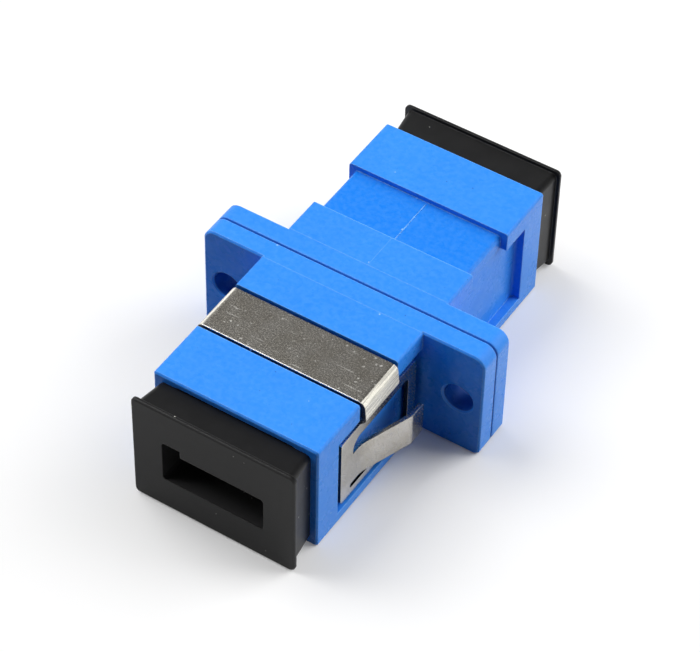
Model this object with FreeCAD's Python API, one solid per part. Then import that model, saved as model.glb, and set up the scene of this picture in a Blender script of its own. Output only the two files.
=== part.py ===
import FreeCAD
import Part
import math
import os

# Simplex fibre adapter with square ports, a mounting flange and a spring clip, in millimetres.
# X runs along the flange, Y is the optical axis with the clip on the -Y half, +Z is up.
# The origin is on the optical axis, in the seam between the two housing halves.

# Port and housing walls
PORT_WIDTH = 9.05
PORT_HEIGHT = 7.45
PORT_CORNER = 0.3
PORT_LEAD_IN = 0.4
SIDE_WALL = 1.775
TOP_WALL = 0.875
EDGE_ROUND = 0.2
MOUTH_CHAMFER = 0.12
KEYWAY_WIDTH = 2.6
KEYWAY_LENGTH = 7.6
KEYWAY_CORNER = 0.5

# Lengths of one housing half, from the seam outwards
FLANGE_HALF = 1.6
NEAR_LAND = 3.05
GROOVE_WIDTH = 4.5
COLLAR_LENGTH = 4.85

# Mounting flange
FLANGE_EAR = 4.7
FLANGE_CORNER = 0.9
FLANGE_FOOT_CORNER = 0.45
FLANGE_EDGE_CHAMFER = 0.12
SEAM_CHAMFER = 0.12
HOLE_DIAMETER = 2.2
HOLE_TO_END = 1.85
HOLE_CHAMFER = 0.15

# Spring clip and its seat
CLIP_THICKNESS = 0.3
CLIP_SIDE_FIT = 0.05
CLIP_TOP_SINK = 0.1
CLIP_SIDE_SINK = 0.15
CLIP_BEND = 0.25
BAND_FRONT_GAP = 0.33
BAND_REAR_GAP = 0.2
LEG_BULGE = 0.42
LEG_FLARE = 45.0
LEG_FLARE_BEND = 0.15
LEG_LEAN = 5.0
POCKET_RELIEF = 0.15
POCKET_ROUND = 0.2
POCKET_INTO_COLLAR = 2.45
POCKET_LIP = 1.5
POCKET_RAIL = 0.9
PANEL_TOP_GAP = 0.75
PANEL_BOTTOM_GAP = 0.2
PANEL_FRONT_GAP = 0.6
PANEL_REAR_GAP = 0.4
PANEL_CORNER = 0.3
PANEL_TOP_STRIP = 0.95
PANEL_BOTTOM_STRIP = 0.6
PANEL_REAR_BAR = 0.95
PANEL_FRONT_WEB = 1.4
WINDOW_CORNER = 0.35
WINDOW_HEAD_CORNER = 0.9
WING_TOP_SLOT = 1.2
WING_BOTTOM_SLOT = 0.4
WING_BOTTOM_SLOT_RUN = 0.28
WING_ROOT = 0.6
WING_ANGLE = 20.5
WING_ROOT_BEND = 2.5
WING_LENGTH = 3.6
WING_TIP_BEND = 0.5
WING_TIP = 1.3
WING_CORNER = 0.3

# Latch holders
HOLDER_PLATE = 1.0
HOLDER_LEDGE_SIDE = 0.65
HOLDER_LEDGE_TOP = 0.3
HOLDER_FIT = 0.05
BARREL_WALL = 0.7
BARREL_LIP = 0.65
BARREL_ENTRY = 2.85
BARREL_ENTRY_CHAMFER = 0.25
BARREL_ROOT_CHAMFER = 0.3
HOOK_FLEX_GAP = 0.325
HOOK_THICKNESS = 0.8
HOOK_WIDTH = 2.5
HOOK_BEYOND_BARREL = 0.8
HOOK_NIB = 0.45
HOOK_NIB_LENGTH = 0.9
HOOK_ROOT_ROUND = 0.35

# Split sleeve
SLEEVE_BORE = 2.49
SLEEVE_WALL = 0.355
SLEEVE_LENGTH = 11.4
SLEEVE_SLOT = 0.5
SLEEVE_FIT = 0.05
SLEEVE_END_PLAY = 0.05

# Dust caps
CAP_PLATE = 0.3
CAP_PLATE_INSET = 0.05
CAP_PLATE_CORNER = 0.4
CAP_PLATE_CHAMFER = 0.1
CAP_NECK = 2.3
CAP_NECK_INSET = 0.3
CAP_NECK_TAPER = 0.25
CAP_NECK_CORNER = 0.4
CAP_FIT = 0.05
CAP_PLUG_WALL = 0.8
CAP_PLUG_CORNER = 0.6
CAP_PLUG_CHAMFER = 0.35
CAP_TO_HOOK = 0.8
CAP_WEB = 0.8
CAP_SLOT_SIDE_WALL = 0.575
CAP_SLOT_HEIGHT = 2.9
CAP_SLOT_DROP = 0.4
CAP_SLOT_DEPTH = 3.0
CAP_SLOT_CORNER = 0.25
CAP_STEP_WIDTH = 1.4
CAP_STEP_HEIGHT = 0.6

# Sizes that follow from the ones above
BODY_WIDTH = PORT_WIDTH + 2 * SIDE_WALL
BODY_HEIGHT = PORT_HEIGHT + 2 * TOP_WALL
FLANGE_WIDTH = BODY_WIDTH + 2 * FLANGE_EAR
HOLE_X = FLANGE_WIDTH / 2 - HOLE_TO_END
GROOVE_START = FLANGE_HALF + NEAR_LAND
GROOVE_END = GROOVE_START + GROOVE_WIDTH
HALF_LENGTH = GROOVE_END + COLLAR_LENGTH
GROOVE_TOP = BODY_HEIGHT / 2 - CLIP_THICKNESS - CLIP_TOP_SINK
CLIP_OUTER = BODY_WIDTH / 2 - CLIP_SIDE_SINK
CLIP_INNER = CLIP_OUTER - CLIP_THICKNESS
GROOVE_SIDE = CLIP_INNER - CLIP_SIDE_FIT
POCKET_FLOOR = GROOVE_SIDE - POCKET_RELIEF
POCKET_TOP = BODY_HEIGHT / 2 - POCKET_LIP
POCKET_BOTTOM = POCKET_RAIL - BODY_HEIGHT / 2
POCKET_END = GROOVE_END + POCKET_INTO_COLLAR
PLATE_WIDTH = PORT_WIDTH + 2 * HOLDER_LEDGE_SIDE
PLATE_HEIGHT = PORT_HEIGHT + 2 * HOLDER_LEDGE_TOP
SLEEVE_OUTER = SLEEVE_BORE + 2 * SLEEVE_WALL
BARREL_BORE = SLEEVE_OUTER + 2 * SLEEVE_FIT
BARREL_OUTER = BARREL_BORE + 2 * BARREL_WALL
BARREL_STOP = SLEEVE_LENGTH / 2 + SLEEVE_END_PLAY
BARREL_END = BARREL_STOP + BARREL_LIP
HOOK_END = BARREL_END + HOOK_BEYOND_BARREL
HOOK_INNER = PORT_WIDTH / 2 - HOOK_FLEX_GAP - HOOK_THICKNESS
CAP_PLUG_WIDTH = PORT_WIDTH - 2 * CAP_FIT
CAP_PLUG_HEIGHT = PORT_HEIGHT - 2 * CAP_FIT
CAP_PLUG_END = HOOK_END + CAP_TO_HOOK
CAP_FACE = HALF_LENGTH + CAP_NECK + CAP_PLATE

# A cut reaches this far past the face it opens
PAST = 1.0


def vec(x, y, z):
    """Return a point or direction."""
    return FreeCAD.Vector(x, y, z)


def box(x0, x1, y0, y1, z0, z1):
    """Return a plain block between the given limits."""
    return Part.makeBox(x1 - x0, y1 - y0, z1 - z0, vec(x0, y0, z0))


def rounded_outline(width, height, radius, y):
    """Return a centred rectangle with round corners, as a wire in the plane of the given y."""
    half_w = width / 2
    half_h = height / 2
    edges = []
    corners = ((1, 1, 0), (-1, 1, 90), (-1, -1, 180), (1, -1, 270))
    for index, (sx, sz, start) in enumerate(corners):
        centre = vec(sx * (half_w - radius), y, sz * (half_h - radius))
        points = []
        for turn in (0, 45, 90):
            angle = math.radians(start + turn)
            points.append(centre + vec(radius * math.cos(angle), 0, radius * math.sin(angle)))
        edges.append(Part.Arc(points[0], points[1], points[2]).toShape())
        nx, nz, _ = corners[(index + 1) % 4]
        next_centre = vec(nx * (half_w - radius), y, nz * (half_h - radius))
        angle = math.radians(start + 90)
        next_start = next_centre + vec(radius * math.cos(angle), 0, radius * math.sin(angle))
        edges.append(Part.LineSegment(points[2], next_start).toShape())
    return Part.Wire(edges)


def rounded_bar(width, height, radius, y0, y1):
    """Return a bar along Y with a round-cornered rectangular section."""
    face = Part.Face(rounded_outline(width, height, radius, y0))
    return face.extrude(vec(0, y1 - y0, 0))


def cylinder_y(radius, y0, y1, x=0.0):
    """Return a round bar along Y."""
    return Part.makeCylinder(radius, y1 - y0, vec(x, y0, 0), vec(0, 1, 0))


def cone_y(radius0, radius1, y0, y1, x=0.0):
    """Return a cone along Y, with a radius at each end."""
    return Part.makeCone(radius0, radius1, y1 - y0, vec(x, y0, 0), vec(0, 1, 0))


def front_of(shape):
    """Return the -Y copy of a piece built on the +Y side."""
    return shape.mirror(vec(0, 0, 0), vec(0, 1, 0))


def turned_round(shape):
    """Return the same moulding turned half a turn about Z."""
    turned = shape.copy()
    turned.rotate(vec(0, 0, 0), vec(0, 0, 1), 180)
    return turned


def edges_where(shape, test):
    """Return the edges whose every vertex passes a test."""
    found = []
    for edge in shape.Edges:
        if all(test(vertex.Point) for vertex in edge.Vertexes):
            found.append(edge)
    return found


def along_y(shape):
    """Return the straight edges that run along Y."""
    found = []
    for edge in shape.Edges:
        start, end = edge.Vertexes[0].Point, edge.Vertexes[-1].Point
        if near(start.x, end.x) and near(start.z, end.z) and not near(start.y, end.y):
            found.append(edge)
    return found


def along_x(shape):
    """Return the straight edges that run along X."""
    found = []
    for edge in shape.Edges:
        start, end = edge.Vertexes[0].Point, edge.Vertexes[-1].Point
        if near(start.y, end.y) and near(start.z, end.z) and not near(start.x, end.x):
            found.append(edge)
    return found


def near(a, b):
    """Tell whether two coordinates are the same."""
    return abs(a - b) < 1e-4


def flange_half():
    """Return one flange half: large round top corners, small foot corners, chamfered seam and ear edges."""
    top = BODY_HEIGHT / 2
    plate = box(-FLANGE_WIDTH / 2, FLANGE_WIDTH / 2, 0, FLANGE_HALF, -top, top)
    heads = [edge for edge in along_y(plate) if near(edge.CenterOfMass.z, top)]
    plate = plate.makeFillet(FLANGE_CORNER, heads)
    feet = [edge for edge in along_y(plate) if near(edge.CenterOfMass.z, -top)]
    plate = plate.makeFillet(FLANGE_FOOT_CORNER, feet)
    seam = edges_where(plate, lambda p: near(p.y, 0))
    plate = plate.makeChamfer(SEAM_CHAMFER, seam)
    ears = []
    for edge in plate.Edges:
        centre = edge.CenterOfMass
        if near(centre.y, FLANGE_HALF) and abs(centre.x) > FLANGE_WIDTH / 2 - FLANGE_CORNER:
            ears.append(edge)
    return plate.makeChamfer(FLANGE_EDGE_CHAMFER, ears)


def flange_holes():
    """Return the cutters of the two screw holes, each with a chamfered mouth."""
    cutters = []
    for x in (-HOLE_X, HOLE_X):
        shank = cylinder_y(HOLE_DIAMETER / 2, -PAST, FLANGE_HALF + PAST, x)
        wide = HOLE_DIAMETER / 2 + HOLE_CHAMFER
        mouth = cone_y(HOLE_DIAMETER / 2, wide + PAST, FLANGE_HALF - HOLE_CHAMFER, FLANGE_HALF + PAST, x)
        cutters.append(shank.fuse(mouth))
    return cutters


def body_half():
    """Return the outer block of one half, with softened long edges and a chamfered mouth rim."""
    block = rounded_bar(BODY_WIDTH, BODY_HEIGHT, EDGE_ROUND, FLANGE_HALF / 2, HALF_LENGTH)
    rim = edges_where(block, lambda p: near(p.y, HALF_LENGTH))
    return block.makeChamfer(MOUTH_CHAMFER, rim)


def port_cutter():
    """Return the cutter of the square port, with a lead-in at its mouth."""
    port = rounded_bar(PORT_WIDTH, PORT_HEIGHT, PORT_CORNER, -PAST, HALF_LENGTH + PAST)
    inner = rounded_outline(PORT_WIDTH, PORT_HEIGHT, PORT_CORNER, HALF_LENGTH - PORT_LEAD_IN)
    grow = 2 * (PORT_LEAD_IN + PAST)
    corner = PORT_CORNER + PORT_LEAD_IN + PAST
    outer = rounded_outline(PORT_WIDTH + grow, PORT_HEIGHT + grow, corner, HALF_LENGTH + PAST)
    return port.fuse(Part.makeLoft([inner, outer], True, True))


def keyway_cutter():
    """Return the cutter of the keyway, a slot through the bottom wall, open at the mouth."""
    slot = box(-KEYWAY_WIDTH / 2, KEYWAY_WIDTH / 2, HALF_LENGTH - KEYWAY_LENGTH, HALF_LENGTH + PAST,
               -BODY_HEIGHT / 2 - PAST, 0)
    inner_end = edges_where(slot, lambda p: near(p.y, HALF_LENGTH - KEYWAY_LENGTH))
    upright = [edge for edge in inner_end if near(edge.Vertexes[0].X, edge.Vertexes[1].X)]
    return slot.makeFillet(KEYWAY_CORNER, upright)


def plate_recess_cutter():
    """Return the cutter of the recess that clamps a latch holder's plate at the seam."""
    return rounded_bar(PLATE_WIDTH + 2 * HOLDER_FIT, PLATE_HEIGHT + 2 * HOLDER_FIT, PORT_CORNER,
                       -PAST, HOLDER_PLATE)


def groove_cutter():
    """Return the cutter of the band groove over the top and down both sides to the pockets."""
    reach = BODY_WIDTH / 2 + PAST
    outside = box(-reach, reach, GROOVE_START, GROOVE_END, POCKET_TOP, BODY_HEIGHT / 2 + PAST)
    core = box(-GROOVE_SIDE, GROOVE_SIDE, GROOVE_START - PAST, GROOVE_END + PAST,
               -BODY_HEIGHT / 2, GROOVE_TOP)
    shoulders = edges_where(core, lambda p: near(p.z, GROOVE_TOP))
    long_shoulders = [edge for edge in shoulders if near(edge.Vertexes[0].X, edge.Vertexes[1].X)]
    core = core.makeFillet(CLIP_BEND + CLIP_SIDE_FIT, long_shoulders)
    return outside.cut(core)


def pocket_cutter(side):
    """Return the cutter of one side pocket, with a rounded foot at its end wall."""
    x0 = POCKET_FLOOR
    x1 = BODY_WIDTH / 2 + PAST
    pocket = box(x0, x1, FLANGE_HALF, POCKET_END, POCKET_BOTTOM, POCKET_TOP)
    foot = edges_where(pocket, lambda p: near(p.x, x0) and near(p.y, POCKET_END))
    pocket = pocket.makeFillet(POCKET_ROUND, foot)
    if side > 0:
        return pocket
    return pocket.mirror(vec(0, 0, 0), vec(1, 0, 0))


def housing_half():
    """Return one moulded housing half on the +Y side."""
    solid = body_half().fuse(flange_half())
    cutters = flange_holes()
    cutters.append(port_cutter())
    cutters.append(keyway_cutter())
    cutters.append(plate_recess_cutter())
    cutters.append(groove_cutter())
    cutters.append(pocket_cutter(1))
    cutters.append(pocket_cutter(-1))
    return solid.cut(cutters).removeSplitter()


def hook(side):
    """Return one latch arm with a sloped nib that points at the barrel."""
    inner = HOOK_INNER
    outer = inner + HOOK_THICKNESS
    root = HOLDER_PLATE / 2
    nib_back = HOOK_END - HOOK_NIB_LENGTH
    points = [
        vec(inner, root, 0),
        vec(outer, root, 0),
        vec(outer, HOOK_END, 0),
        vec(inner, HOOK_END, 0),
        vec(inner - HOOK_NIB, nib_back + HOOK_NIB, 0),
        vec(inner - HOOK_NIB, nib_back, 0),
        vec(inner, nib_back, 0),
    ]
    points.append(points[0])
    face = Part.Face(Part.makePolygon([vec(side * p.x, p.y, -HOOK_WIDTH / 2) for p in points]))
    return face.extrude(vec(0, 0, HOOK_WIDTH))


def hook_root(side):
    """Return the rounded foot on the inner side of a latch arm."""
    corner_x = side * HOOK_INNER
    block = box(min(corner_x, corner_x - side * HOOK_ROOT_ROUND),
                max(corner_x, corner_x - side * HOOK_ROOT_ROUND),
                HOLDER_PLATE, HOLDER_PLATE + HOOK_ROOT_ROUND, -HOOK_WIDTH / 2, HOOK_WIDTH / 2)
    axis = vec(corner_x - side * HOOK_ROOT_ROUND, HOLDER_PLATE + HOOK_ROOT_ROUND, -HOOK_WIDTH)
    return block.cut(Part.makeCylinder(HOOK_ROOT_ROUND, 2 * HOOK_WIDTH, axis, vec(0, 0, 1)))


def barrel():
    """Return the sleeve barrel as a turned profile: foot, tube, end lip and sloped entry."""
    bore = BARREL_BORE / 2
    outer = BARREL_OUTER / 2
    entry = BARREL_ENTRY / 2
    foot = BARREL_ROOT_CHAMFER
    slope = BARREL_ENTRY_CHAMFER
    profile = [
        vec(bore, 0, 0),
        vec(outer + foot, 0, 0),
        vec(outer + foot, HOLDER_PLATE, 0),
        vec(outer, HOLDER_PLATE + foot, 0),
        vec(outer, BARREL_END - slope, 0),
        vec(outer - slope, BARREL_END, 0),
        vec(entry + slope, BARREL_END, 0),
        vec(entry, BARREL_END - slope, 0),
        vec(entry, BARREL_STOP, 0),
        vec(bore, BARREL_STOP, 0),
    ]
    profile.append(profile[0])
    return Part.Face(Part.makePolygon(profile)).revolve(vec(0, 0, 0), vec(0, 1, 0), 360)


def latch_holder():
    """Return one latch holder on the +Y side: plate, barrel and two latch arms in one moulding."""
    plate = rounded_bar(PLATE_WIDTH, PLATE_HEIGHT, PORT_CORNER - HOLDER_FIT, 0, HOLDER_PLATE)
    plate = plate.cut(cylinder_y(BARREL_BORE / 2, -PAST, HOLDER_PLATE + PAST))
    return plate.fuse([barrel(), hook(1), hook(-1), hook_root(1), hook_root(-1)]).removeSplitter()


def alignment_sleeve():
    """Return the split ceramic sleeve, slotted along its top."""
    half = SLEEVE_LENGTH / 2
    bore = cylinder_y(SLEEVE_BORE / 2, -half - PAST, half + PAST)
    tube = cylinder_y(SLEEVE_OUTER / 2, -half, half).cut(bore)
    return tube.cut(box(-SLEEVE_SLOT / 2, SLEEVE_SLOT / 2, -half - PAST, half + PAST, 0, SLEEVE_OUTER))


def sheet_section(start, heading, runs, thickness, place):
    """Return the section of bent sheet as a face.

    The sheet's middle line starts at a point with a heading in degrees, then follows runs:
    ("line", length) or ("bend", middle radius, angle), where a positive angle turns left.
    place maps the two section coordinates to a point in space.
    """
    half = thickness / 2
    x, y = start
    angle = math.radians(heading)
    left = []
    right = []

    def offset(px, py, direction, distance):
        """Return the point at a distance to the left of a direction."""
        return place(px - distance * math.sin(direction), py + distance * math.cos(direction))

    first = (offset(x, y, angle, half), offset(x, y, angle, -half))
    for run in runs:
        if run[0] == "line":
            nx = x + run[1] * math.cos(angle)
            ny = y + run[1] * math.sin(angle)
            for edges, distance in ((left, half), (right, -half)):
                edges.append(Part.LineSegment(offset(x, y, angle, distance),
                                              offset(nx, ny, angle, distance)).toShape())
            x, y = nx, ny
            continue
        turn = math.radians(run[2])
        reach = math.copysign(run[1], turn)
        cx = x - reach * math.sin(angle)
        cy = y + reach * math.cos(angle)
        stations = []
        for share in (0.0, 0.5, 1.0):
            along = angle + share * turn
            stations.append((cx + reach * math.sin(along), cy - reach * math.cos(along), along))
        for edges, distance in ((left, half), (right, -half)):
            points = [offset(px, py, along, distance) for px, py, along in stations]
            edges.append(Part.Arc(points[0], points[1], points[2]).toShape())
        x, y, angle = stations[2]
    last = (offset(x, y, angle, half), offset(x, y, angle, -half))
    start_cap = Part.LineSegment(first[1], first[0]).toShape()
    end_cap = Part.LineSegment(last[0], last[1]).toShape()
    return Part.Face(Part.Wire([start_cap] + left + [end_cap] + right[::-1]))


def clip_band():
    """Return the band over the top on the -Y half, with a leg at each end that bulges out past the panel.

    From the panel's top edge a leg flares outwards, turns up, leans in a little and bends into the band.
    """
    fold = CLIP_BEND + CLIP_THICKNESS / 2
    crimp = LEG_FLARE_BEND + CLIP_THICKNESS / 2
    flare = math.radians(LEG_FLARE)
    lean = math.radians(LEG_LEAN)
    panel_top = POCKET_TOP - PANEL_TOP_GAP
    side = CLIP_INNER + CLIP_THICKNESS / 2
    slope = (LEG_BULGE - crimp * (1 + math.cos(lean) - 2 * math.cos(flare))) / math.sin(flare)
    flare_rise = crimp * (2 * math.sin(flare) + math.sin(lean)) + slope * math.cos(flare)
    fold_rise = fold * (1 - math.sin(lean))
    leg = (GROOVE_TOP + CLIP_THICKNESS / 2 - fold_rise - flare_rise - panel_top) / math.cos(lean)
    top_half = side + LEG_BULGE - leg * math.sin(lean) - fold * math.cos(lean)
    rise = [("line", PANEL_TOP_STRIP), ("bend", crimp, -LEG_FLARE), ("line", slope),
            ("bend", crimp, LEG_FLARE + LEG_LEAN), ("line", leg), ("bend", fold, 90 - LEG_LEAN)]
    runs = rise + [("line", 2 * top_half)] + rise[::-1]
    y0 = BAND_FRONT_GAP - GROOVE_END
    y1 = -GROOVE_START - BAND_REAR_GAP
    section = sheet_section((side, panel_top - PANEL_TOP_STRIP), 90, runs, CLIP_THICKNESS,
                            lambda u, v: vec(u, y0, v))
    return section.extrude(vec(0, y1 - y0, 0))


def clip_window(front, rear, sill, head):
    """Return the cutter of a panel's window: a wide round over the wing's root, and a slot run under it."""
    x0 = CLIP_INNER - PAST
    x1 = CLIP_OUTER + PAST
    window = box(x0, x1, front, rear, sill, head)

    def over_root(edge):
        """Tell whether an edge is the window's upper corner over the wing's root."""
        return near(edge.CenterOfMass.y, front) and near(edge.CenterOfMass.z, head)

    window = window.makeFillet(WINDOW_CORNER, [edge for edge in along_x(window) if not over_root(edge)])
    window = window.makeFillet(WINDOW_HEAD_CORNER, [edge for edge in along_x(window) if over_root(edge)])
    round_end = WING_BOTTOM_SLOT / 2
    slot_end = front - WING_BOTTOM_SLOT_RUN + round_end
    slot = box(x0, x1, slot_end, front + WINDOW_CORNER, sill, sill + WING_BOTTOM_SLOT)
    tip = Part.makeCylinder(round_end, x1 - x0, vec(x0, slot_end, sill + round_end), vec(1, 0, 0))
    return window.fuse([slot, tip])


def clip_panel():
    """Return the +X side panel: a framed plate with a window, flat against the pocket."""
    top = POCKET_TOP - PANEL_TOP_GAP
    bottom = POCKET_BOTTOM + PANEL_BOTTOM_GAP
    y0 = -POCKET_END + PANEL_FRONT_GAP
    y1 = -FLANGE_HALF - PANEL_REAR_GAP
    plate = box(CLIP_INNER, CLIP_OUTER, y0, y1, bottom, top)
    plate = plate.makeFillet(PANEL_CORNER, along_x(plate))
    window = clip_window(y0 + PANEL_FRONT_WEB, y1 - PANEL_REAR_BAR, bottom + PANEL_BOTTOM_STRIP,
                         top - PANEL_TOP_STRIP)
    return plate.cut(window)


def clip_wing():
    """Return the +X wing that is cut from the window and sprung outwards towards the flange."""
    top = POCKET_TOP - PANEL_TOP_GAP - PANEL_TOP_STRIP - WING_TOP_SLOT
    bottom = POCKET_BOTTOM + PANEL_BOTTOM_GAP + PANEL_BOTTOM_STRIP + WING_BOTTOM_SLOT
    y0 = -POCKET_END + PANEL_FRONT_GAP + PANEL_FRONT_WEB / 2
    middle = CLIP_INNER + CLIP_THICKNESS / 2
    runs = [("line", PANEL_FRONT_WEB / 2 + WING_ROOT), ("bend", WING_ROOT_BEND, -WING_ANGLE),
            ("line", WING_LENGTH), ("bend", WING_TIP_BEND, WING_ANGLE), ("line", WING_TIP)]
    section = sheet_section((middle, y0), 90, runs, CLIP_THICKNESS, lambda u, v: vec(u, v, bottom))
    wing = section.extrude(vec(0, 0, top - bottom))
    tip_y = wing.BoundBox.YMax
    tip = []
    for edge in wing.Edges:
        ends = [vertex.Point for vertex in edge.Vertexes]
        if near(ends[0].y, tip_y) and near(ends[-1].y, tip_y) and near(ends[0].z, ends[-1].z):
            tip.append(edge)
    return wing.makeFillet(WING_CORNER, tip)


def spring_clip():
    """Return the one-piece steel clip on the -Y half."""
    right = clip_panel().fuse(clip_wing())
    left = right.mirror(vec(0, 0, 0), vec(1, 0, 0))
    return clip_band().fuse([right, left]).removeSplitter()


def cap_slot(y0, y1):
    """Return the cutter of the grip slot in the cap's face, taller at its left end."""
    half = CAP_PLUG_WIDTH / 2 - CAP_SLOT_SIDE_WALL
    bottom = -CAP_SLOT_DROP - CAP_SLOT_HEIGHT / 2
    top = bottom + CAP_SLOT_HEIGHT
    points = [
        vec(-half, y0, bottom),
        vec(half, y0, bottom),
        vec(half, y0, top),
        vec(CAP_STEP_WIDTH - half, y0, top),
        vec(CAP_STEP_WIDTH - half, y0, top + CAP_STEP_HEIGHT),
        vec(-half, y0, top + CAP_STEP_HEIGHT),
    ]
    points.append(points[0])
    slot = Part.Face(Part.makePolygon(points)).extrude(vec(0, y1 - y0, 0))
    corners = []
    for edge in slot.Edges:
        ends = [vertex.Point for vertex in edge.Vertexes]
        along = near(ends[0].x, ends[-1].x) and near(ends[0].z, ends[-1].z)
        if along and near(abs(ends[0].x), half):
            corners.append(edge)
    return slot.makeFillet(CAP_SLOT_CORNER, corners)


def cap_neck():
    """Return the neck of the -Y dust cap, which narrows from the face plate to the mouth rim."""
    sections = []
    for inset, y in ((CAP_NECK_INSET, -CAP_FACE + CAP_PLATE / 2),
                     (CAP_NECK_INSET + CAP_NECK_TAPER, -HALF_LENGTH)):
        sections.append(rounded_outline(BODY_WIDTH - 2 * inset, BODY_HEIGHT - 2 * inset, CAP_NECK_CORNER, y))
    return Part.makeLoft(sections, True, True)


def dust_cap():
    """Return the -Y dust cap: face plate, neck against the mouth rim, hollow plug in the port."""
    plate_w = BODY_WIDTH - 2 * CAP_PLATE_INSET
    plate_h = BODY_HEIGHT - 2 * CAP_PLATE_INSET
    plate = rounded_bar(plate_w, plate_h, CAP_PLATE_CORNER, -CAP_FACE, -CAP_FACE + CAP_PLATE)
    plate = plate.makeChamfer(CAP_PLATE_CHAMFER, edges_where(plate, lambda p: near(p.y, -CAP_FACE)))
    plug = rounded_bar(CAP_PLUG_WIDTH, CAP_PLUG_HEIGHT, CAP_PLUG_CORNER,
                       -HALF_LENGTH - CAP_NECK / 2, -CAP_PLUG_END)
    plug = plug.makeChamfer(CAP_PLUG_CHAMFER, edges_where(plug, lambda p: near(p.y, -CAP_PLUG_END)))
    hollow = rounded_bar(CAP_PLUG_WIDTH - 2 * CAP_PLUG_WALL, CAP_PLUG_HEIGHT - 2 * CAP_PLUG_WALL,
                         PORT_CORNER, -CAP_FACE + CAP_SLOT_DEPTH + CAP_WEB, -CAP_PLUG_END + PAST)
    slot = cap_slot(-CAP_FACE - PAST, -CAP_FACE + CAP_SLOT_DEPTH)
    return plate.fuse([cap_neck(), plug]).cut([hollow, slot]).removeSplitter()


def write(name, shape):
    """Write one piece as a single solid to its own STEP file."""
    solid = shape if shape.ShapeType == "Solid" else shape.Solids[0]
    solid.exportStep(os.path.join("parts", name + ".step"))
    box_of = solid.BoundBox
    print("%-20s %8.2f mm3  x %.2f..%.2f  y %.2f..%.2f  z %.2f..%.2f  solids %d valid %s" % (
        name, solid.Volume, box_of.XMin, box_of.XMax, box_of.YMin, box_of.YMax, box_of.ZMin, box_of.ZMax,
        len(shape.Solids), solid.isValid()))


def main():
    """Build every piece of the adapter."""
    os.makedirs("parts", exist_ok=True)
    rear_housing = housing_half()
    rear_holder = latch_holder()
    front_cap = dust_cap()
    write("front_housing", front_of(rear_housing))
    write("rear_housing", rear_housing)
    write("front_latch_holder", front_of(rear_holder))
    write("rear_latch_holder", rear_holder)
    write("alignment_sleeve", alignment_sleeve())
    write("spring_clip", spring_clip())
    write("front_dust_cap", front_cap)
    write("rear_dust_cap", turned_round(front_cap))


main()
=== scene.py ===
"""Dresses the packed fibre adapter in its finishes and sets it in a plain white studio.

Lengths are in millimetres in the dataclass fields and in metres in Blender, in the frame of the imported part:
X along the flange, Y along the optical axis with the spring clip on the -Y half, Z up.
"""
import logging
import math
from dataclasses import dataclass, field
from enum import Enum

import bpy
import numpy as np
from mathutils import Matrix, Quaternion, Vector


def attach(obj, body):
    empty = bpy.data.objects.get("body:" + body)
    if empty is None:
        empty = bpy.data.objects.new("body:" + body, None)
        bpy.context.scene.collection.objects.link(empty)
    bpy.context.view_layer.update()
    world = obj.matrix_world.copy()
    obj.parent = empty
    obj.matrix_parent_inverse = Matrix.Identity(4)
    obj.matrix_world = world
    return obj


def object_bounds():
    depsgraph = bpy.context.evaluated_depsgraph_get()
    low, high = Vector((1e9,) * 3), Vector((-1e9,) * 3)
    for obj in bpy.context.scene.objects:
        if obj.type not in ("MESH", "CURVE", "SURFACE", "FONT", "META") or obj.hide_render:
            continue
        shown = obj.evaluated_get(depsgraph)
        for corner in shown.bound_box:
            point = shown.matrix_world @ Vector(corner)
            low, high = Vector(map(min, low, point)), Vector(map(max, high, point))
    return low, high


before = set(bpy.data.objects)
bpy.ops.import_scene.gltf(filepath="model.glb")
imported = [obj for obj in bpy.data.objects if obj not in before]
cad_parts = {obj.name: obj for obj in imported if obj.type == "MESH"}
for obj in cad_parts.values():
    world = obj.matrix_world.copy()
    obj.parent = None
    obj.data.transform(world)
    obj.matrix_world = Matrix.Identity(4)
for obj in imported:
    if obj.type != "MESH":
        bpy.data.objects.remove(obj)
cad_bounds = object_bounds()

MM = 0.001
log = logging.getLogger("adapter")

Colour = tuple[float, float, float]
Point = tuple[float, float, float]
Range = tuple[float, float]
Socket = bpy.types.NodeSocket


class Body(Enum):
    """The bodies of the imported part."""

    ADAPTER = "adapter"
    FRONT_CAP = "front_cap"
    REAR_CAP = "rear_cap"


class Slot(Enum):
    """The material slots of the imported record."""

    HOUSING = "housing"
    LATCH_HOLDER = "latch_holder"
    SLEEVE = "sleeve"
    CLIP = "clip"
    CAP = "cap"


class Rays(Enum):
    """The kinds of ray that the studio answers in their own way."""

    CAMERA = "Is Camera Ray"
    GLOSSY = "Is Glossy Ray"
    TRANSMISSION = "Is Transmission Ray"


# ---------------------------------------------------------------------------------------------------------
# Node materials
# ---------------------------------------------------------------------------------------------------------


@dataclass(frozen=True)
class Clouds:
    """Lumps of noise: their size in millimetres, their detail, and the range of noise that counts."""

    size: float
    detail: float = 2.0
    low: float = 0.3
    high: float = 0.7


@dataclass(frozen=True)
class Marks:
    """Scattered specks or scratches.

    Spacing and radius are in millimetres. Share is how many cells keep their mark, weight is how strongly a
    mark shows, and turn is a scratch's direction about Z in degrees.
    """

    spacing: float
    radius: float
    share: float
    weight: float = 1.0
    turn: float = 0.0


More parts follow.
